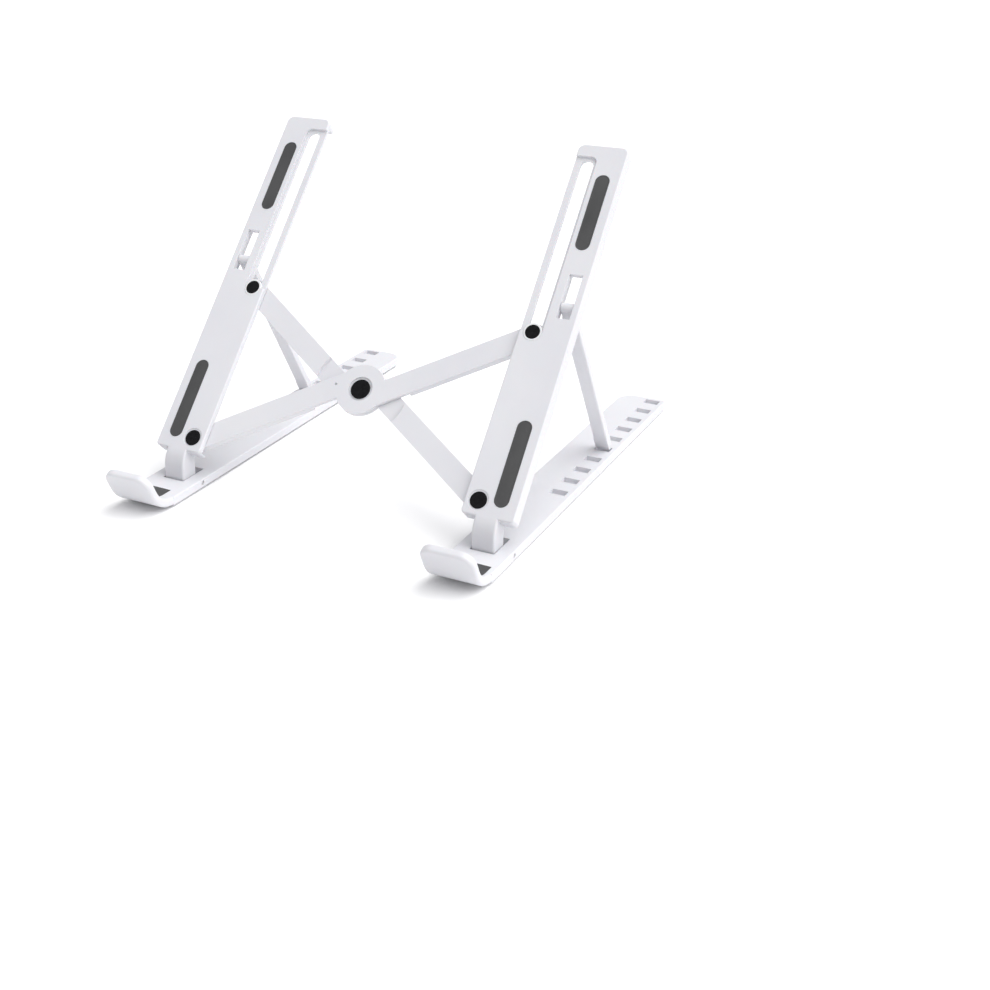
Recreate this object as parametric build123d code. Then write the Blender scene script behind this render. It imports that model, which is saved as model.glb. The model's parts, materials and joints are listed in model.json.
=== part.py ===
"""Folding laptop stand: two notched rails, two arms with props, joined by a scissor of two bars.

Frame: +X right, +Y rearward, +Z up, origin at the centre of the bottom of the whole stand.
Right-hand parts are modelled and the left-hand ones are their mirror images.
"""
import os
from math import atan2, cos, degrees, hypot, radians, sin

from build123d import *

# ---- driving dimensions, millimetres and degrees ----
HALF_SPAN = 85.0          # centre plane to each lower scissor pivot, stand fully open
SLIDER_S = 92.8           # lower pivot to slider, measured up the arm, stand fully open
ARM_ANGLE = 47.6          # arm above the rail, prop in the fifth notch
INNER_EDGE = 7.3          # pivot to the inner edge of arm and rail
OUTER_EDGE = 21.0         # pivot to the outer edge of arm and rail
FIT_GAP = 0.02            # radial gap of a pin in the piece that holds it
RUN_GAP = 0.06            # radial gap of a pin in the piece that turns on it

# rail
RAIL_T = 5.0
FOOT_PROUD = 1.2          # rubber foot below the rail
FIRST_NOTCH = 72.6        # lower pivot to the first notch
NOTCH_PITCH = 16.9
NOTCH_COUNT = 10
NOTCH_LENGTH = 6.4
NOTCH_WIDTH = 9.0
NOTCH_DEPTH = 2.6
REAR_MARGIN = 6.4         # last notch to the rear end
HOOK_START = -29.0        # where the rail starts to curl up
HOOK_RADIUS = 15.0        # inside radius of the curl
HOOK_SWEEP = 62.0
HOOK_LIP = 13.0           # straight length past the curl
HOOK_CORNER = 7.0
HOOK_T = 4.6
SLOT_Y = (-10.0, 9.3)      # opening for the neck, front and rear ends
SLOT_GAP = 0.4            # beside the neck

# arm
ARM_T = 7.8
PLATE_T = 3.3
ARM_BOTTOM = -7.8
ARM_TOP = 205.9
PIVOT_HEIGHT = 22.0       # arm face at the lower pivot, above the rail face
CHANNEL_EDGE = 5.2        # outer wall of the slider channel, also its lower end radius
SLIDER_END_GAP = 0.4      # slider head to the channel end, stand folded
CHANNEL_DEPTH = 1.5
SLOT_CUT = 7.2            # width of the slider's slot
BAR_BAY = 7.6             # underside room for the bars, out to here
RIB_T = 1.4
OUTER_WALL = 1.8
WINDOW = (9.9, 17.3, 102.4, 128.0)
NECK_WIDTH = 12.4
NECK_Y = (-9.1, 1.9)      # front and rear of the neck at the rail
NECK_EDGE_R = 1.1
NECK_FOOT_GAP = 0.6       # neck bottom above the table
NECK_TOE = 2.0            # half width of the neck bottom under the hinge
NECK_REAR_TOP = 13.2      # height where the neck back meets the arm

# hinge between arm and rail, from the lower pivot's place on the rail face
HINGE_Y = -2.4
HINGE_Z = -2.2
HINGE_PIN_D = 2.5

# prop
PROP_S = 110.2
PROP_DEPTH = 3.0
PROP_W = 8.0
PROP_T = 4.4
PROP_HEAD_W = 6.8
PROP_HEAD_R = 2.5
PROP_PIN_D = 2.0
TIP_R = 2.2
TIP_LIFT = 0.3

# scissor bars
BAR_TOP = 3.6             # bar face below the arm face
BAR_T = 4.2
BAR_W = 12.4
BAR_OFFSET = 6.4          # each half bar leaves the hub this far off the pivot line
HUB_R = 14.0
LAP_R = 28.0              # the bars are halved within this radius
LAP_GAP = 0.3

# pins and caps
CAP_D = 8.9
CAP_RING = 1.0            # stepped ring round the pivot caps
SLIDER_CAP_D = 8.0
SLIDER_HEAD_D = 10.2
CAP_T = 1.2
CAP_PROUD = 0.15
PIN_D = 5.0
PIN_HEAD_D = 8.0
PIN_HEAD_T = 0.8
SHANK_D = 6.4
SPIGOT_D = 4.4
CLIP_D = 9.4
CLIP_T = 1.0
HUB_PIN_D = 5.6
HUB_CAP_D = 11.0
HUB_CAP_T = 0.7
HUB_RECESS_D = 13.8

# silicone pads
PAD_U = 11.75
PAD_W = 7.9
PAD_DEPTH = 1.0
PAD_PROUD = 0.25
UPPER_PAD = (142.4, 188.0)
LOWER_PAD = (-1.5, 44.9)
HOOK_PAD_U = (-0.6, 17.8)
HOOK_PAD_Y = -22.5        # rear end of the pad in the hook
HOOK_PAD_SWEEP = 46.0     # how far round the curl it reaches

# feet and edges
FOOT_Y = (-15.5, 205.0)
FOOT_LENGTH = 19.0
FOOT_W = 7.0
FOOT_SUNK = 0.8
EDGE_R = 1.5
REAR_INNER_R = 10.0
REAR_OUTER_R = 3.0
ARM_CORNER_R = 3.8
INNER_CELL = (-5.0, 7.0)
HINGE_PIN_U = (-7.0, 20.7)
PROP_PIN_END = 20.2
PROP_BAY = (92.0, 134.0)

# ---- worked-out sizes ----
RAIL_TOP = FOOT_PROUD + RAIL_T
MID_U = (OUTER_EDGE - INNER_EDGE) / 2
WIDTH = INNER_EDGE + OUTER_EDGE
LAST_NOTCH = FIRST_NOTCH + (NOTCH_COUNT - 1) * NOTCH_PITCH
RAIL_REAR = LAST_NOTCH + REAR_MARGIN
PROP_U = (WINDOW[0] + WINDOW[1]) / 2
ALPHA = radians(ARM_ANGLE)
BAR_ANGLE = degrees(atan2(SLIDER_S / 2, HALF_SPAN))
HALF_BAR = hypot(HALF_SPAN, SLIDER_S / 2)
FOLDED_HALF_SPAN = INNER_EDGE + 0.2
SLIDER_TOP = 2 * (HALF_BAR**2 - FOLDED_HALF_SPAN**2) ** 0.5
CHANNEL_TOP = SLIDER_TOP + SLIDER_HEAD_D / 2 + SLIDER_END_GAP

# hook profile points, seen from the side, from the rail face at the lower pivot
SWEEP = radians(HOOK_SWEEP)
TIP_Y = HOOK_START - HOOK_RADIUS * sin(SWEEP) - HOOK_LIP * cos(SWEEP)
TIP_Z = HOOK_RADIUS * (1 - cos(SWEEP)) + HOOK_LIP * sin(SWEEP)
FRONT_Y = TIP_Y - HOOK_T * sin(SWEEP)


def on_rail(shape):
    """Rail frame: origin on the rail face under the lower pivot, x outward from the pivot line."""
    return Location((HALF_SPAN, PIVOT_Y, RAIL_TOP)) * shape


def arm_plane():
    """Arm frame: origin on the arm face at the lower pivot, x outward, y up the arm."""
    origin = (HALF_SPAN, PIVOT_Y, RAIL_TOP + PIVOT_HEIGHT)
    return Plane(origin=origin, x_dir=(1, 0, 0), z_dir=(0, -sin(ALPHA), cos(ALPHA)))


def on_arm(shape):
    return arm_plane().location * shape


def on_scissor(shape, angle):
    """Scissor frame: origin at the hub on the arms' face plane, turned by angle about it."""
    hub = Pos(-HALF_SPAN, SLIDER_S / 2, 0) * Rot(0, 0, angle)
    return arm_plane().location * hub * shape


def block(x0, x1, y0, y1, z0, z1):
    return Pos((x0 + x1) / 2, (y0 + y1) / 2, (z0 + z1) / 2) * Box(x1 - x0, y1 - y0, z1 - z0)


def disc(x, y, z0, z1, diameter):
    return Pos(x, y, (z0 + z1) / 2) * Cylinder(diameter / 2, z1 - z0)


def cross_rod(y, z, x0, x1, diameter):
    return Pos((x0 + x1) / 2, y, z) * Rot(0, 90, 0) * Cylinder(diameter / 2, x1 - x0)


def stadium(x, y0, y1, z0, z1, width):
    """Upright slab with round ends, from y0 to y1."""
    outline = Pos(x, (y0 + y1) / 2) * Rot(0, 0, 90) * SlotOverall(y1 - y0, width)
    return extrude(Pos(0, 0, z0) * outline, z1 - z0)


def side_profile(points, x0, x1):
    """Closed outline of (y, z) points, extruded from x0 to x1."""
    outline = Plane.YZ.offset(x0) * make_face(Polyline(*points, close=True))
    return extrude(outline, x1 - x0)


def hinge_in_arm():
    """Hinge axis in the arm frame, as (y, z)."""
    dz = HINGE_Z - PIVOT_HEIGHT
    return HINGE_Y * cos(ALPHA) + dz * sin(ALPHA), -HINGE_Y * sin(ALPHA) + dz * cos(ALPHA)


def prop_points():
    """Prop pin and tip centre as (y, z) from the rail face at the lower pivot."""
    pin_y = PROP_S * cos(ALPHA) + PROP_DEPTH * sin(ALPHA)
    pin_z = PIVOT_HEIGHT + PROP_S * sin(ALPHA) - PROP_DEPTH * cos(ALPHA)
    tip_y = FIRST_NOTCH + 4 * NOTCH_PITCH
    return (pin_y, pin_z), (tip_y, TIP_R + TIP_LIFT)


# ---- rail ----
def hook_profile():
    """Side outline of the hook, in (y, z): level start, quarter-round curl, straight lip."""
    centre = (HOOK_START, HOOK_RADIUS)

    def on_curl(radius, angle):
        return centre[0] - radius * sin(angle), centre[1] - radius * cos(angle)

    def along_lip(point):
        return point[0] - HOOK_LIP * cos(SWEEP), point[1] + HOOK_LIP * sin(SWEEP)

    outside = HOOK_RADIUS + HOOK_T
    start, start_low = on_curl(HOOK_RADIUS, 0), on_curl(outside, 0)
    inner_end, outer_end = on_curl(HOOK_RADIUS, SWEEP), on_curl(outside, SWEEP)
    inner_tip, outer_tip = along_lip(inner_end), along_lip(outer_end)
    edges = [
        ThreePointArc(start, on_curl(HOOK_RADIUS, SWEEP / 2), inner_end),
        Line(inner_end, inner_tip),
        Line(inner_tip, outer_tip),
        Line(outer_tip, outer_end),
        ThreePointArc(outer_end, on_curl(outside, SWEEP / 2), start_low),
        Line(start_low, start),
    ]
    return make_face(Wire(edges))


def make_hook():
    hook = extrude(Plane.YZ.offset(-INNER_EDGE) * hook_profile(), WIDTH)
    reach = 60.0
    lip_frame = Plane(
        origin=(MID_U, TIP_Y, TIP_Z), x_dir=(1, 0, 0), z_dir=(0, -sin(SWEEP), -cos(SWEEP))
    )
    outline = Pos(0, -reach / 2) * RectangleRounded(WIDTH, reach, HOOK_CORNER)
    hook = hook & extrude(lip_frame * outline, reach / 2, both=True)
    front_rim = hook.edges().filter_by_position(Axis.Y, FRONT_Y - 1, HOOK_START - 6)
    return fillet(front_rim, EDGE_R)


def hook_pad_strip(gap, proud):
    """Strip along the hook's floor and up its curl, sunk PAD_DEPTH and standing proud."""
    sweep = radians(HOOK_PAD_SWEEP)

    def on_curl(radius, angle):
        return HOOK_START - radius * sin(angle), HOOK_RADIUS - radius * cos(angle)

    low, high = HOOK_RADIUS + PAD_DEPTH + gap, HOOK_RADIUS - proud
    rear = HOOK_PAD_Y + gap
    edges = [
        Line((rear, -PAD_DEPTH - gap), on_curl(low, 0)),
        ThreePointArc(on_curl(low, 0), on_curl(low, sweep / 2), on_curl(low, sweep)),
        Line(on_curl(low, sweep), on_curl(high, sweep)),
        ThreePointArc(on_curl(high, sweep), on_curl(high, sweep / 2), on_curl(high, 0)),
        Line(on_curl(high, 0), (rear, proud)),
        Line((rear, proud), (rear, -PAD_DEPTH - gap)),
    ]
    start = HOOK_PAD_U[0] - gap
    outline = Plane.YZ.offset(start) * make_face(Wire(edges))
    return extrude(outline, HOOK_PAD_U[1] + gap - start)


def make_hook_pad():
    return hook_pad_strip(0, PAD_PROUD)


def make_notch(y):
    """Pocket with a steep rear wall that stops the prop and a ramp towards the front."""
    half = NOTCH_LENGTH / 2
    points = [(y - half, 0.5), (y - half, -0.6), (y + half - 1.6, -NOTCH_DEPTH)]
    points += [(y + half, -NOTCH_DEPTH), (y + half, 0.5)]
    return side_profile(points, PROP_U - NOTCH_WIDTH / 2, PROP_U + NOTCH_WIDTH / 2)


def neck_slot():
    """Opening for the arm's neck, long enough for it to lean either way."""
    half = NECK_WIDTH / 2 + SLOT_GAP
    slot = block(MID_U - half, MID_U + half, SLOT_Y[0], SLOT_Y[1], -9, 9)
    return fillet(slot.edges().filter_by(Axis.Z), 0.6)


def underside_pockets():
    """Shallow cells that lighten the rail from below, on the side without notches."""
    count = 9
    first, last = SLOT_Y[1] + 6, LAST_NOTCH - 22
    step = (last - first) / count
    cells = [
        block(INNER_CELL[0], INNER_CELL[1], first + i * step, first + (i + 1) * step - 2, -9, -2.4)
        for i in range(count)
    ]
    return Compound(cells)


def make_rail():
    plate = block(-INNER_EDGE, OUTER_EDGE, HOOK_START, RAIL_REAR, -RAIL_T, 0)
    rear_corners = plate.edges().filter_by(Axis.Z).group_by(Axis.Y)[-1].sort_by(Axis.X)
    plate = fillet(rear_corners[0], REAR_INNER_R)
    plate = fillet(plate.edges().filter_by(Axis.Z).sort_by(Axis.Y)[-1], REAR_OUTER_R)
    rims = plate.faces().sort_by(Axis.Z)[-1].edges() + plate.faces().sort_by(Axis.Z)[0].edges()
    rims = [e for e in rims if e.center().Y > HOOK_START + 1]
    plate = fillet(rims, EDGE_R / 2)
    rail = plate + make_hook()
    rail -= hook_pad_strip(FIT_GAP, 9)
    rail -= neck_slot()
    for index in range(NOTCH_COUNT):
        rail -= make_notch(FIRST_NOTCH + index * NOTCH_PITCH)
    rail -= underside_pockets()
    for y in FOOT_Y:
        rail -= foot_block(y, -RAIL_T - 1, -RAIL_T + FOOT_SUNK, FIT_GAP)
    rail -= cross_rod(HINGE_Y, HINGE_Z, -99, 99, HINGE_PIN_D + 2 * FIT_GAP)
    return rail


def foot_block(y, z0, z1, gap):
    outline = Pos(MID_U, y) * SlotOverall(FOOT_LENGTH + 2 * gap, FOOT_W + 2 * gap)
    return extrude(Pos(0, 0, z0) * outline, z1 - z0)


def make_foot(y):
    foot = foot_block(y, -RAIL_TOP, -RAIL_T + FOOT_SUNK, 0)
    return fillet(foot.faces().sort_by(Axis.Z)[0].edges(), 0.5)


def make_hinge_pin():
    pin = cross_rod(HINGE_Y, HINGE_Z, HINGE_PIN_U[0], HINGE_PIN_U[1], HINGE_PIN_D)
    return chamfer(pin.edges(), 0.25)


# ---- arm ----
def channel_cut():
    """Recess for the slider's cap, open at the arm's inner edge, and the slot through it."""
    recess = block(-INNER_EDGE - 1, CHANNEL_EDGE, SLIDER_S, CHANNEL_TOP, -CHANNEL_DEPTH, 1)
    uprights = recess.edges().filter_by(Axis.Z)
    corner = [e for e in uprights if e.center().X > 0 and e.center().Y > SLIDER_S + 1]
    recess = fillet(corner, 3.4)
    recess += disc(0, SLIDER_S, -CHANNEL_DEPTH, 1, 2 * CHANNEL_EDGE)
    end = SLOT_CUT / 2
    return recess + stadium(0, SLIDER_S - end, SLIDER_TOP + end + 0.1, -9, 1, SLOT_CUT)


def underside_bays():
    """Hollows under the face plate: one for the bars, one for the prop, with cross ribs."""
    bar_bay = block(-INNER_EDGE - 1, BAR_BAY, ARM_BOTTOM + 1.1, ARM_TOP - 5.5, -9, -PLATE_T)
    left, right = BAR_BAY + RIB_T, OUTER_EDGE - OUTER_WALL
    stops = (3.0, 45.0, PROP_BAY[0], PROP_BAY[1], 165.0, ARM_TOP - 3.0)
    for low, high in zip(stops[:-1], stops[1:]):
        bar_bay += block(left, right, low + RIB_T / 2, high - RIB_T / 2, -9, -PLATE_T)
    return bar_bay


def make_neck():
    """Neck that carries the arm's face down into the rail, in the arm frame."""
    front, rear = NECK_Y
    reach = ARM_BOTTOM - 0.4
    start = (reach * cos(ALPHA), PIVOT_HEIGHT + reach * sin(ALPHA))
    root = ((ARM_BOTTOM + 2) * cos(ALPHA), PIVOT_HEIGHT + (ARM_BOTTOM + 2) * sin(ALPHA))
    turn = radians(90) - ALPHA
    radius = (start[0] - front) / (1 - cos(turn))
    centre = (front + radius, start[1] - radius * sin(turn))
    middle = (centre[0] - radius * cos(turn / 2), centre[1] + radius * sin(turn / 2))
    bend_end = (front, centre[1])
    low = -RAIL_T + NECK_FOOT_GAP
    outline = [
        (front, HINGE_Z), (HINGE_Y - NECK_TOE, low), (HINGE_Y + NECK_TOE, low),
        (rear, HINGE_Z), (rear, NECK_REAR_TOP),
    ]
    edges = [Line(root, start), ThreePointArc(start, middle, bend_end)]
    points = [bend_end] + outline + [root]
    edges += [Line(a, b) for a, b in zip(points[:-1], points[1:])]
    side = Plane.YZ.offset(MID_U - NECK_WIDTH / 2) * make_face(Wire(edges))
    neck = extrude(side, NECK_WIDTH)
    front_edges = [
        edge for edge in neck.edges()
        if edge.length > NECK_WIDTH / 3 and edge.center().Y < start[0]
        and edge.bounding_box().size.X < NECK_EDGE_R
    ]
    neck = fillet(front_edges, NECK_EDGE_R)
    face = Plane(origin=(0, 0, PIVOT_HEIGHT), x_dir=(1, 0, 0), z_dir=(0, -sin(ALPHA), cos(ALPHA)))
    return face.location.inverse() * neck


def make_arm():
    arm = block(-INNER_EDGE, OUTER_EDGE, ARM_BOTTOM, ARM_TOP, -ARM_T, 0)
    uprights = arm.edges().filter_by(Axis.Z).group_by(Axis.Y)
    arm = fillet(uprights[-1], ARM_CORNER_R)
    arm = fillet(arm.edges().filter_by(Axis.Z).group_by(Axis.Y)[0], 2.0)
    arm = fillet(arm.faces().sort_by(Axis.Z)[-1].edges(), EDGE_R / 2)
    arm += make_neck()
    arm -= underside_bays()
    arm -= channel_cut()
    arm -= block(*WINDOW, -9, 1)
    for y0, y1 in (UPPER_PAD, LOWER_PAD):
        arm -= stadium(PAD_U, y0 - FIT_GAP, y1 + FIT_GAP, -PAD_DEPTH, 1, PAD_W + 2 * FIT_GAP)
    arm -= disc(0, 0, -CAP_T, 1, CAP_D + 2 * FIT_GAP)
    arm -= disc(0, 0, -0.3, 1, CAP_D + 2 * CAP_RING)
    arm -= disc(0, 0, -CAP_T - PIN_HEAD_T, 0, PIN_HEAD_D + 2 * FIT_GAP)
    arm -= disc(0, 0, -9, 0, PIN_D + 2 * FIT_GAP)
    hinge_y, hinge_z = hinge_in_arm()
    arm -= cross_rod(hinge_y, hinge_z, -20, 40, HINGE_PIN_D + 2 * RUN_GAP)
    arm -= cross_rod(PROP_S, -PROP_DEPTH, BAR_BAY, PROP_PIN_END, PROP_PIN_D + 2 * FIT_GAP)
    return arm


def make_pad(y0, y1):
    pad = stadium(PAD_U, y0, y1, -PAD_DEPTH, PAD_PROUD, PAD_W)
    return fillet(pad.faces().sort_by(Axis.Z)[-1].edges(), 0.3)


# ---- prop ----
def make_prop():
    """Prop in the stand's own frame: head round the pin, flat shaft, round-ended foot."""
    (pin_y, pin_z), (tip_y, tip_z) = prop_points()
    length = hypot(tip_y - pin_y, pin_z - tip_z)
    lean = degrees(atan2(tip_y - pin_y, pin_z - tip_z))
    head = cross_rod(0, 0, -PROP_HEAD_W / 2, PROP_HEAD_W / 2, 2 * PROP_HEAD_R)
    head += block(-PROP_HEAD_W / 2, PROP_HEAD_W / 2, -PROP_T / 2, PROP_T / 2, -9, 0)
    shaft = block(-PROP_W / 2, PROP_W / 2, -PROP_T / 2, PROP_T / 2, -length + TIP_R, -6.5)
    shaft = fillet(shaft.edges().filter_by(Axis.Z), 0.8)
    foot = block(-PROP_W / 2, PROP_W / 2, -TIP_R, TIP_R, -length, -length + 8)
    foot += cross_rod(0, -length, -PROP_W / 2, PROP_W / 2, 2 * TIP_R)
    prop = head + shaft + foot
    prop -= block(-PROP_W / 2 + 1.6, PROP_W / 2 - 1.6, 0.8, 9, -length + 12, -14)
    prop -= cross_rod(0, 0, -9, 9, PROP_PIN_D + 2 * RUN_GAP)
    return Pos(PROP_U, pin_y, pin_z) * Rot(lean, 0, 0) * prop


def make_prop_pin():
    pin = cross_rod(PROP_S, -PROP_DEPTH, BAR_BAY + 0.3, PROP_PIN_END - 0.3, PROP_PIN_D)
    return chamfer(pin.edges(), 0.3)


# ---- scissor ----
def half_bar(side, offset):
    """Tapered-off half: round end at the pivot, other end beside the hub centre."""
    run = hypot(HALF_BAR, offset)
    turn = degrees(atan2(-offset * side, HALF_BAR)) + (0 if side > 0 else 180)
    strip = block(0, run, -BAR_W / 2, BAR_W / 2, -BAR_TOP - BAR_T, -BAR_TOP)
    strip += disc(run, 0, -BAR_TOP - BAR_T, -BAR_TOP, BAR_W)
    return Pos(0, offset, 0) * Rot(0, 0, turn) * strip


def make_bar(offset, upper):
    """Scissor bar in the hub frame; upper says which half of the halved middle it keeps."""
    bottom = -BAR_TOP - BAR_T
    middle = -BAR_TOP - BAR_T / 2
    bar = half_bar(1, offset) + half_bar(-1, -offset) + disc(0, 0, bottom, -BAR_TOP, 2 * HUB_R)
    if upper:
        bar -= disc(0, 0, bottom - 1, middle + LAP_GAP / 2, 2 * LAP_R)
    else:
        bar -= disc(0, 0, middle - LAP_GAP / 2, 0, 2 * LAP_R)
    return bar


def make_over_bar():
    bar = make_bar(-BAR_OFFSET, True)
    bar = bar - disc(0, 0, -BAR_TOP - HUB_CAP_T - 0.1, 0, HUB_RECESS_D)
    bar -= disc(0, 0, -9, 0, HUB_PIN_D + 2 * FIT_GAP)
    bar -= disc(-13.0, 7.3, -BAR_TOP - 0.8, 0, 1.6)
    bar -= disc(HALF_BAR, 0, -9, 0, SPIGOT_D + 2 * FIT_GAP)
    return bar - disc(-HALF_BAR, 0, -9, 0, PIN_D + 2 * RUN_GAP)


def make_under_bar():
    bar = make_bar(BAR_OFFSET, False)
    bar -= disc(0, 0, -9, 0, HUB_PIN_D + 2 * RUN_GAP)
    bar -= disc(HALF_BAR, 0, -9, 0, SPIGOT_D + 2 * FIT_GAP)
    return bar - disc(-HALF_BAR, 0, -9, 0, PIN_D + 2 * RUN_GAP)


def dished_cap(diameter, bottom, top, dish):
    cap = disc(0, 0, bottom, top, diameter)
    cap = fillet(cap.faces().sort_by(Axis.Z)[-1].edges(), 0.35)
    ball = 60.0
    return cap - Pos(0, 0, top + ball - dish) * Sphere(ball)


def make_clip(z_top, bore, outside):
    ring = disc(0, 0, z_top - CLIP_T, z_top, outside) - disc(0, 0, -20, 0, bore + 2 * FIT_GAP)
    return ring


def make_pivot_pin():
    bottom = -BAR_TOP - BAR_T - LAP_GAP - CLIP_T - 0.3
    pin = disc(0, 0, bottom, -CAP_T, PIN_D)
    return pin + disc(0, 0, -CAP_T - PIN_HEAD_T, -CAP_T, PIN_HEAD_D)


def make_slider_pin():
    """Slider with a round head in the channel and a seat for the cap in that head."""
    bottom = -BAR_TOP - BAR_T - CLIP_T - 0.3
    head_low = -CHANNEL_DEPTH + RUN_GAP
    slider = disc(0, 0, head_low, -0.1, SLIDER_HEAD_D)
    slider = fillet(slider.faces().sort_by(Axis.Z)[-1].edges(), 0.3)
    slider += disc(0, 0, -BAR_TOP, head_low, SHANK_D) + disc(0, 0, bottom, head_low, SPIGOT_D)
    return slider - disc(0, 0, -0.8, 1, SLIDER_CAP_D + 2 * FIT_GAP)


def make_hub_pin():
    bottom = -BAR_TOP - BAR_T - LAP_GAP - CLIP_T - 0.3
    return disc(0, 0, bottom, -BAR_TOP - HUB_CAP_T, HUB_PIN_D)


# ---- assembly ----
RAIL = make_rail()
RAIL_BOX = RAIL.bounding_box()
PIVOT_Y = -(RAIL_BOX.min.Y + RAIL_BOX.max.Y) / 2    # puts the origin in the middle of the length


def right_parts():
    """Every right-hand piece but the bars, by name without its side."""
    low = -BAR_TOP - BAR_T
    at_slider = Pos(0, SLIDER_S, 0)
    return {
        "rail": on_rail(RAIL),
        "front_foot": on_rail(make_foot(FOOT_Y[0])),
        "rear_foot": on_rail(make_foot(FOOT_Y[1])),
        "hinge_pin": on_rail(make_hinge_pin()),
        "hook_pad": on_rail(make_hook_pad()),
        "arm": on_arm(make_arm()),
        "upper_pad": on_arm(make_pad(*UPPER_PAD)),
        "lower_pad": on_arm(make_pad(*LOWER_PAD)),
        "prop": on_rail(make_prop()),
        "prop_pin": on_arm(make_prop_pin()),
        "pivot_pin": on_arm(make_pivot_pin()),
        "pivot_cap": on_arm(dished_cap(CAP_D, -CAP_T, CAP_PROUD, 0.12)),
        "pivot_clip": on_arm(make_clip(low - LAP_GAP, PIN_D, CLIP_D)),
        "slider_pin": on_arm(at_slider * make_slider_pin()),
        "slider_cap": on_arm(at_slider * dished_cap(SLIDER_CAP_D, -0.8, CAP_PROUD, 0.3)),
        "slider_clip": on_arm(at_slider * make_clip(low, SPIGOT_D, CLIP_D)),
    }


def all_parts():
    parts = {}
    for name, shape in right_parts().items():
        parts["right_" + name] = shape
        parts["left_" + name] = mirror(shape, about=Plane.YZ)
    hub_clip = make_clip(-BAR_TOP - BAR_T - LAP_GAP, HUB_PIN_D, CLIP_D + 2)
    parts["over_bar"] = on_scissor(make_over_bar(), BAR_ANGLE)
    parts["under_bar"] = on_scissor(make_under_bar(), 180 - BAR_ANGLE)
    parts["hub_pin"] = on_scissor(make_hub_pin(), 0)
    cap = dished_cap(HUB_CAP_D, -BAR_TOP - HUB_CAP_T, -BAR_TOP + 0.05, 0.1)
    parts["hub_cap"] = on_scissor(cap, 0)
    parts["hub_clip"] = on_scissor(hub_clip, 0)
    return parts


if __name__ == "__main__":
    os.makedirs("parts", exist_ok=True)
    for name, shape in all_parts().items():
        export_step(shape, f"parts/{name}.step")
    (pin_y, pin_z), (tip_y, tip_z) = prop_points()
    print("pivot y", PIVOT_Y, "rail length", RAIL_REAR - FRONT_Y, "hinge in arm", hinge_in_arm())
    print("prop pin", pin_y, pin_z, "tip", tip_y, tip_z, "slider top", SLIDER_TOP)
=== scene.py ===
"""Looks for the folding laptop stand: materials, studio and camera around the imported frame."""
import json
import math

import bmesh
import bpy
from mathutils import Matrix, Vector


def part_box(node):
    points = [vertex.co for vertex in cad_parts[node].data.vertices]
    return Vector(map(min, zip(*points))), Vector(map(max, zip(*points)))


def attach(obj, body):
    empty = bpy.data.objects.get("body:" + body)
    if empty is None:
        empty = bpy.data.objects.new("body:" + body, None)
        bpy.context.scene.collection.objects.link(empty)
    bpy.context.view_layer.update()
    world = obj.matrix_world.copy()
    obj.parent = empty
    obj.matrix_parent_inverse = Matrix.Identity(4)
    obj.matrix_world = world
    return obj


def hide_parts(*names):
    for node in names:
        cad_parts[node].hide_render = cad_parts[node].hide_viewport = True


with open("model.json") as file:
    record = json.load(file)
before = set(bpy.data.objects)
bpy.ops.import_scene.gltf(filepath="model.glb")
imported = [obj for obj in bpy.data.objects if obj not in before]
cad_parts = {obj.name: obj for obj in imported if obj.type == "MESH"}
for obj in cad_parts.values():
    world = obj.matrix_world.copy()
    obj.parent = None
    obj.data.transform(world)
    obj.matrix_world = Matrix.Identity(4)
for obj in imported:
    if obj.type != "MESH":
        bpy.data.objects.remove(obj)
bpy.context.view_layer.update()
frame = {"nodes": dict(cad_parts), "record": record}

MM = 0.001

# hook pad, as in the CAD part, which the record doesn't describe
PAD_RADIUS = 15.0 * MM       # inside of the hook's curl
PAD_SWEEP = math.radians(46.0)
PAD_FLAT = 6.5 * MM          # flat run on the rail behind the curl
PAD_DEPTH = 1.0 * MM         # how far the pad is let into the rail
PAD_PROUD = 0.25 * MM        # how far it stands out
FLAT_STATIONS = 6
CURL_STATIONS = 18

# studio
SKY_STRENGTH = 0.6
DIFFUSER_STRENGTH = 3.0
DIFFUSER_SPREAD = 72.0       # degrees across
TOWARD_DIFFUSER = (0.5, 0.12, 0.86)
FLOOR_HALF = 6.0


# ---- node helpers ----
def new_material(name):
    material = bpy.data.materials.new(name)
    material.use_nodes = True
    nodes = material.node_tree.nodes
    return material, nodes, material.node_tree.links, nodes["Principled BSDF"]


def set_inputs(node, **values):
    for key, value in values.items():
        node.inputs[key.replace("_", " ")].default_value = value
    return node


def noise(nodes, links, vector, scale, detail=4.0, roughness=0.55):
    node = nodes.new("ShaderNodeTexNoise")
    set_inputs(node, Scale=scale, Detail=detail, Roughness=roughness)
    links.new(vector, node.inputs["Vector"])
    return node.outputs["Fac"]


def ramp(nodes, links, factor, stops):
    """Colour ramp from (position, colour) stops."""
    node = nodes.new("ShaderNodeValToRGB")
    elements = node.color_ramp.elements
    while len(elements) < len(stops):
        elements.new(0.5)
    for element, (position, colour) in zip(elements, stops):
        element.position = position
        element.color = (*colour, 1.0)
    links.new(factor, node.inputs["Fac"])
    return node.outputs["Color"]


def remap(nodes, links, value, low, high, to_low, to_high):
    node = nodes.new("ShaderNodeMapRange")
    names = ("From Min", "From Max", "To Min", "To Max")
    for name, number in zip(names, (low, high, to_low, to_high)):
        node.inputs[name].default_value = number
    links.new(value, node.inputs["Value"])
    return node.outputs["Result"]


def bump(nodes, links, height, strength, distance, normal=None):
    node = nodes.new("ShaderNodeBump")
    node.inputs["Strength"].default_value = strength
    node.inputs["Distance"].default_value = distance
    links.new(height, node.inputs["Height"])
    if normal is not None:
        links.new(normal, node.inputs["Normal"])
    return node.outputs["Normal"]


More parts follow.
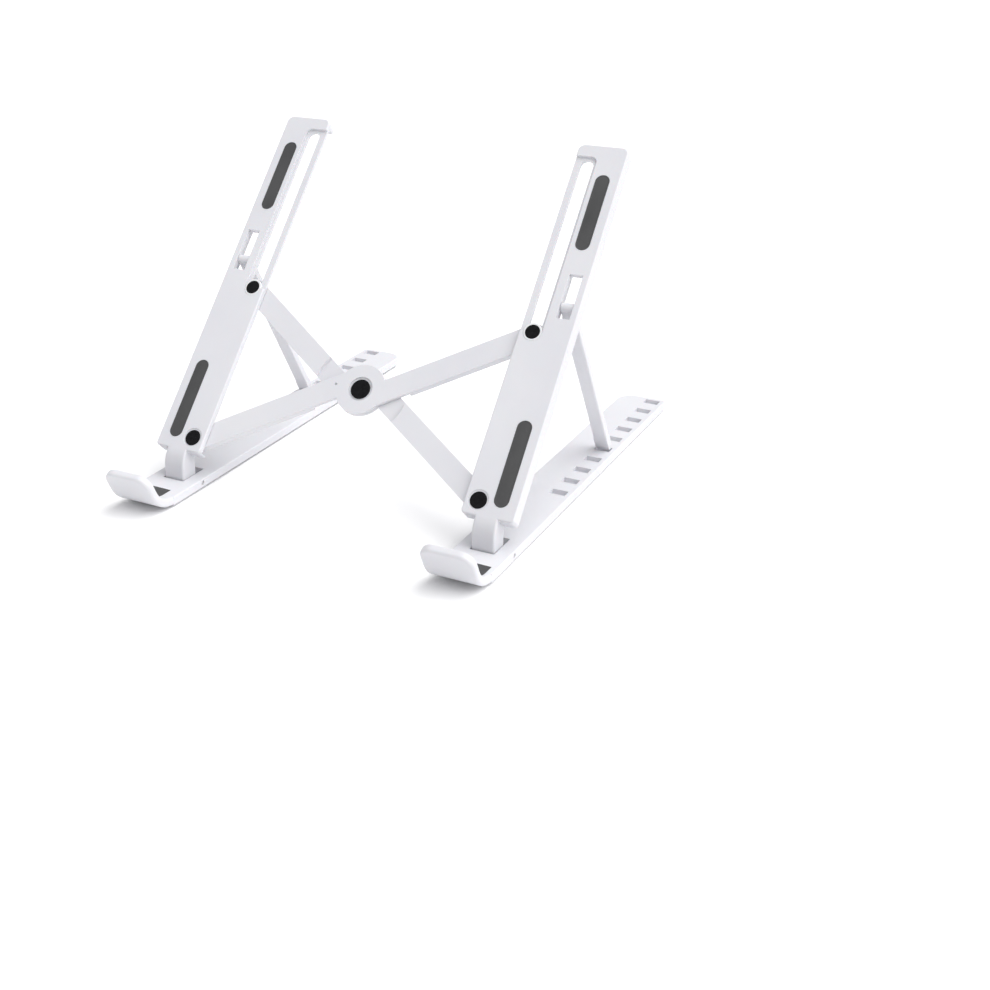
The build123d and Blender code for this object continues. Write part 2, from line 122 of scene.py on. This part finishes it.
def object_space(nodes):
    return nodes.new("ShaderNodeTexCoord").outputs["Object"]


def soft_edge(nodes, radius):
    node = nodes.new("ShaderNodeBevel")
    node.samples = 6
    node.inputs["Radius"].default_value = radius
    return node.outputs["Normal"]


def edge_highlight_mask(nodes, links, radius):
    """1 on an edge, 0 on a flat: how far the softened normal leaves the true one; it places a painted
    highlight along the edges.
    """
    geometry = nodes.new("ShaderNodeNewGeometry")
    dot = nodes.new("ShaderNodeVectorMath")
    dot.operation = "DOT_PRODUCT"
    links.new(soft_edge(nodes, radius), dot.inputs[0])
    links.new(geometry.outputs["Normal"], dot.inputs[1])
    return remap(nodes, links, dot.outputs["Value"], 1.0, 0.82, 0.0, 1.0)


def mix_colour(nodes, links, factor, first, second):
    node = nodes.new("ShaderNodeMix")
    node.data_type = "RGBA"
    links.new(factor, node.inputs["Factor"])
    for socket, value in ((node.inputs["A"], first), (node.inputs["B"], second)):
        if isinstance(value, tuple):
            socket.default_value = (*value, 1.0)
        else:
            links.new(value, socket)
    return node.outputs["Result"]


# ---- materials ----
def white_plastic(name, tones, rough):
    """Satin injection-moulded plastic: fine spark texture, faint flow tone, a painted highlight on
    the edges.
    """
    material, nodes, links, shader = new_material(name)
    space = object_space(nodes)
    flow = noise(nodes, links, space, 22.0, 3.0)
    colour = ramp(nodes, links, flow, [(0.3, tones[0]), (0.7, tones[1])])
    specks = noise(nodes, links, space, 1400.0, 2.0)
    speck_mask = remap(nodes, links, specks, 0.70, 0.78, 0.0, 0.25)
    colour = mix_colour(nodes, links, speck_mask, colour, tuple(0.8 * c for c in tones[0]))
    # painted highlight: the edges get a lighter tone than the flats
    edges = edge_highlight_mask(nodes, links, 0.7 * MM)
    colour = mix_colour(nodes, links, edges, colour, tuple(min(1.0, 1.08 * c) for c in tones[1]))
    links.new(colour, shader.inputs["Base Color"])
    grain = noise(nodes, links, space, 2600.0, 2.0)
    handling = noise(nodes, links, space, 60.0, 5.0, 0.65)
    links.new(remap(nodes, links, handling, 0.3, 0.7, *rough), shader.inputs["Roughness"])
    rounded = soft_edge(nodes, 0.3 * MM)
    links.new(bump(nodes, links, grain, 0.12, 0.05 * MM, rounded), shader.inputs["Normal"])
    set_inputs(shader, Subsurface_Weight=0.05, Subsurface_Scale=0.002, IOR=1.46)
    shader.inputs["Specular IOR Level"].default_value = 0.4
    return material


def silicone(name, dark, light, rough):
    """Matte silicone rubber with a fine grain and a little dust caught on it."""
    material, nodes, links, shader = new_material(name)
    space = object_space(nodes)
    tone = noise(nodes, links, space, 45.0, 4.0)
    colour = ramp(nodes, links, tone, [(0.3, dark), (0.7, light)])
    lint = noise(nodes, links, space, 900.0, 6.0, 0.7)
    dust = remap(nodes, links, lint, 0.62, 0.80, 0.0, 0.5)
    colour = mix_colour(nodes, links, dust, colour, tuple(2.4 * c for c in light))
    # painted highlight: a lighter tone round the rims stands in for sheen
    edges = edge_highlight_mask(nodes, links, 0.4 * MM)
    colour = mix_colour(nodes, links, edges, colour, tuple(1.5 * c for c in light))
    links.new(colour, shader.inputs["Base Color"])
    links.new(remap(nodes, links, tone, 0.3, 0.7, rough, rough + 0.14), shader.inputs["Roughness"])
    grain = noise(nodes, links, space, 3200.0, 2.0)
    rounded = soft_edge(nodes, 0.2 * MM)
    links.new(bump(nodes, links, grain, 0.35, 0.06 * MM, rounded), shader.inputs["Normal"])
    shader.inputs["Specular IOR Level"].default_value = 0.35
    return material


def gloss_cap():
    """Glossy black moulded cap with fine scuffs and a painted highlight on its edges."""
    material, nodes, links, shader = new_material("gloss_cap")
    space = object_space(nodes)
    scuff = noise(nodes, links, space, 520.0, 8.0, 0.7)
    stops = [(0.35, (0.0025, 0.0025, 0.003)), (0.75, (0.007, 0.007, 0.008))]
    # painted highlight: the edges get a lighter black than the flats
    edges = edge_highlight_mask(nodes, links, 0.4 * MM)
    colour = ramp(nodes, links, scuff, stops)
    colour = mix_colour(nodes, links, edges, colour, (0.02, 0.02, 0.022))
    links.new(colour, shader.inputs["Base Color"])
    links.new(remap(nodes, links, scuff, 0.35, 0.75, 0.22, 0.42), shader.inputs["Roughness"])
    rounded = soft_edge(nodes, 0.2 * MM)
    links.new(bump(nodes, links, scuff, 0.08, 0.04 * MM, rounded), shader.inputs["Normal"])
    shader.inputs["Specular IOR Level"].default_value = 0.16
    return material


def steel(name, tone, rough):
    """Turned or stamped steel: stretched fine lines over a mottled grey."""
    material, nodes, links, shader = new_material(name)
    lines = nodes.new("ShaderNodeMapping")
    lines.inputs["Scale"].default_value = (60.0, 2400.0, 2400.0)
    links.new(object_space(nodes), lines.inputs["Vector"])
    brushed = noise(nodes, links, lines.outputs["Vector"], 1.0, 3.0)
    low, high = (0.8 * tone, 0.8 * tone, 0.81 * tone), (tone, tone, tone)
    colour = ramp(nodes, links, brushed, [(0.3, low), (0.7, high)])
    links.new(colour, shader.inputs["Base Color"])
    links.new(remap(nodes, links, brushed, 0.3, 0.7, rough, rough + 0.15), shader.inputs["Roughness"])
    rounded = soft_edge(nodes, 0.15 * MM)
    links.new(bump(nodes, links, brushed, 0.15, 0.03 * MM, rounded), shader.inputs["Normal"])
    shader.inputs["Metallic"].default_value = 1.0
    return material


MATERIALS = {
    "white_plastic": white_plastic(
        "white_plastic", ((0.640, 0.640, 0.675), (0.680, 0.680, 0.705)), (0.36, 0.5)
    ),
    "acetal": white_plastic("acetal", ((0.70, 0.70, 0.715), (0.73, 0.73, 0.735)), (0.26, 0.36)),
    "pad_silicone": silicone(
        "pad_silicone", (0.052, 0.052, 0.053), (0.070, 0.070, 0.071), 0.5
    ),
    "foot_rubber": silicone("foot_rubber", (0.075, 0.075, 0.08), (0.10, 0.10, 0.105), 0.65),
    "black_cap": gloss_cap(),
    "steel_pin": steel("steel_pin", 0.62, 0.25),
    "clip_steel": steel("clip_steel", 0.5, 0.35),
}


def dress_nodes():
    for entry in frame["record"]["subparts"]:
        node = frame["nodes"][entry["node"]]
        node.data.materials.clear()
        node.data.materials.append(MATERIALS[entry["material_slot"]])


# ---- silicone pads and rubber feet, built as meshes in place of the plain CAD strips ----
END_STEPS = 14            # segments in each round end


def joint_axis(name):
    joint = next(j for j in frame["record"]["behaviour"]["joints"] if j["name"] == name)
    return Vector(joint["axis"]).normalized()


def spans(node, axes):
    """(low, high) of a node's mesh along each axis."""
    points = [vertex.co for vertex in frame["nodes"][node].data.vertices]
    return [(min(p.dot(a) for p in points), max(p.dot(a) for p in points)) for a in axes]


def stadium_ring(half_length, half_width, inset):
    """Closed outline of a round-ended strip along b, pulled in by inset, as (a, b)."""
    radius = half_width - inset
    straight = half_length - half_width
    ring = []
    for end in (1, -1):
        for step in range(END_STEPS + 1):
            angle = math.pi * step / END_STEPS
            a = end * radius * math.cos(angle)
            ring.append((a, end * (straight + radius * math.sin(angle))))
    return ring


def bevelled(name, mesh, width):
    """Object with smooth faces, its sharp edges rounded by a bevel."""
    mesh.validate()
    for polygon in mesh.polygons:
        polygon.use_smooth = True
    piece = bpy.data.objects.new(name, mesh)
    bpy.context.scene.collection.objects.link(piece)
    rounding = piece.modifiers.new("rounding", "BEVEL")
    rounding.width = width
    rounding.segments = 3
    rounding.limit_method = "ANGLE"
    rounding.angle_limit = math.radians(40)
    rounding.harden_normals = True
    return piece


def stack_rings(name, rings):
    """Closed mesh from rings of equal length, first and last ones capped."""
    shape = bmesh.new()
    loops = [[shape.verts.new(point) for point in ring] for ring in rings]
    for below, above in zip(loops[:-1], loops[1:]):
        count = len(below)
        for i in range(count):
            after = (i + 1) % count
            shape.faces.new((below[i], below[after], above[after], above[i]))
    shape.faces.new(list(reversed(loops[0])))
    shape.faces.new(loops[-1])
    bmesh.ops.recalc_face_normals(shape, faces=shape.faces)
    mesh = bpy.data.meshes.new(name)
    shape.to_mesh(mesh)
    shape.free()
    return mesh


def round_strip(node, body, axes, levels, slot, bevel):
    """Round-ended strip filling a node's box along axes (across, along, up).

    levels are (inset from the outline, share of the height) pairs from the bottom up.
    """
    (a0, a1), (b0, b1), (c0, c1) = spans(node, axes)
    across, along, up = axes
    middle = across * (a0 + a1) / 2 + along * (b0 + b1) / 2
    rings = []
    for inset, share in levels:
        outline = stadium_ring((b1 - b0) / 2, (a1 - a0) / 2, inset)
        height = up * (c0 + (c1 - c0) * share)
        rings.append([middle + across * a + along * b + height for a, b in outline])
    piece = bevelled(node + "_skin", stack_rings(node, rings), bevel)
    piece.data.materials.append(MATERIALS[slot])
    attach(piece, body)
    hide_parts(node)


def arm_pads():
    """Crowned strips with a fine moulded bead round the rim."""
    normal = joint_axis("scissor_fold")
    right = Vector((1, 0, 0))
    axes = (right, normal.cross(right), normal)
    levels = [
        (0.0, 0.0), (0.0, 0.93), (0.34 * MM, 0.99), (0.62 * MM, 0.90), (0.95 * MM, 0.90),
        (1.7 * MM, 0.955), (2.6 * MM, 0.985), (3.6 * MM, 1.0),
    ]
    for side in ("right", "left"):
        for place in ("upper_pad", "lower_pad"):
            round_strip(f"{side}_{place}", f"{side}_arm", axes, levels, "pad_silicone", 0.09 * MM)


def rail_feet():
    """Rubber feet with a stepped tread on the side that meets the table."""
    axes = (Vector((0, 1, 0)), Vector((1, 0, 0)), Vector((0, 0, -1)))
    levels = [
        (0.0, 0.0), (0.0, 0.78), (0.35 * MM, 0.95), (0.7 * MM, 1.0), (1.15 * MM, 1.0),
        (1.3 * MM, 0.86), (1.7 * MM, 0.86), (1.85 * MM, 1.0), (2.3 * MM, 1.0),
        (2.45 * MM, 0.86), (2.85 * MM, 0.86), (3.0 * MM, 1.0),
    ]
    for side in ("right", "left"):
        for place in ("front_foot", "rear_foot"):
            round_strip(f"{side}_{place}", f"{side}_rail", axes, levels, "foot_rubber", 0.08 * MM)


def hook_pads():
    """Strips that follow the hook: flat on the rail's floor, then up the inside of the curl."""
    for side in ("right", "left"):
        node = f"{side}_hook_pad"
        low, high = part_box(node)
        floor, rear = low.z + PAD_DEPTH, high.y
        stations = [(rear - PAD_FLAT * i / FLAT_STATIONS, floor, 0.0) for i in range(FLAT_STATIONS)]
        for i in range(CURL_STATIONS + 1):
            angle = PAD_SWEEP * i / CURL_STATIONS
            y = rear - PAD_FLAT - PAD_RADIUS * math.sin(angle)
            stations.append((y, floor + PAD_RADIUS * (1 - math.cos(angle)), angle))
        rings = []
        half, centre = (high.x - low.x) / 2, (high.x + low.x) / 2
        across = [(-half, -PAD_DEPTH), (-half, 0.8 * PAD_PROUD)]
        across += [(half * k, PAD_PROUD * (1 - 0.5 * k * k)) for k in (-0.94, -0.8, -0.4, 0.0)]
        across += [(-x, h) for x, h in reversed(across[:5])]
        for y, z, angle in stations:
            lift = Vector((0.0, math.sin(angle), math.cos(angle)))
            rings.append([Vector((centre + x, y, z)) + lift * h for x, h in across])
        piece = bevelled(node + "_skin", stack_rings(node, rings), 0.12 * MM)
        piece.data.materials.append(MATERIALS["pad_silicone"])
        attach(piece, f"{side}_rail")
        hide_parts(node)


# ---- studio ----
def pale_floor():
    mesh = bpy.data.meshes.new("floor")
    side = FLOOR_HALF
    corners = [(-side, -side, 0), (side, -side, 0), (side, side, 0), (-side, side, 0)]
    mesh.from_pydata(corners, [], [(0, 1, 2, 3)])
    floor = bpy.data.objects.new("floor", mesh)
    bpy.context.scene.collection.objects.link(floor)
    material, nodes, links, shader = new_material("pale_floor")
    tone = noise(nodes, links, object_space(nodes), 3.0)
    stops = [(0.3, (0.95, 0.95, 0.955)), (0.7, (0.96, 0.96, 0.96))]
    links.new(ramp(nodes, links, tone, stops), shader.inputs["Base Color"])
    set_inputs(shader, Roughness=0.9, Specular_IOR_Level=0.1)
    mesh.materials.append(material)


def wide_sun(name, toward_light, strength, spread):
    """Very soft distant light, as from a large overhead diffuser."""
    data = bpy.data.lights.new(name, "SUN")
    data.energy = strength
    data.angle = math.radians(spread)
    light = bpy.data.objects.new(name, data)
    light.rotation_euler = Vector(toward_light).to_track_quat("Z", "Y").to_euler()
    bpy.context.scene.collection.objects.link(light)


def soft_studio():
    world = bpy.data.worlds.new("studio")
    bpy.context.scene.world = world
    world.use_nodes = True
    background = world.node_tree.nodes["Background"]
    background.inputs["Color"].default_value = (0.985, 0.985, 1.0, 1.0)
    background.inputs["Strength"].default_value = SKY_STRENGTH
    wide_sun("diffuser", TOWARD_DIFFUSER, DIFFUSER_STRENGTH, DIFFUSER_SPREAD)
    bpy.context.scene.view_settings.view_transform = "Standard"


# ---- camera ----
def photo_camera():
    """Camera at the photographed angle; its target is set from the hub cap."""
    azimuth, elevation, distance = math.radians(28.2), math.radians(17.6), 0.853
    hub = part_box("hub_cap")
    target = (Vector(hub[0]) + Vector(hub[1])) / 2 + Vector((-22.4, 72.6, 17.0)) * MM
    level = math.cos(elevation)
    toward = Vector((-math.sin(azimuth) * level, math.cos(azimuth) * level, -math.sin(elevation)))
    data = bpy.data.cameras.new("camera")
    data.sensor_width = 36.0
    data.lens = 54.2
    data.shift_x = 0.108
    data.shift_y = -0.181
    camera = bpy.data.objects.new("camera", data)
    camera.location = target - toward * distance
    camera.rotation_euler = toward.to_track_quat("-Z", "Y").to_euler()
    bpy.context.scene.collection.objects.link(camera)
    bpy.context.scene.camera = camera


photo_camera()
dress_nodes()
arm_pads()
rail_feet()
hook_pads()
pale_floor()
soft_studio()
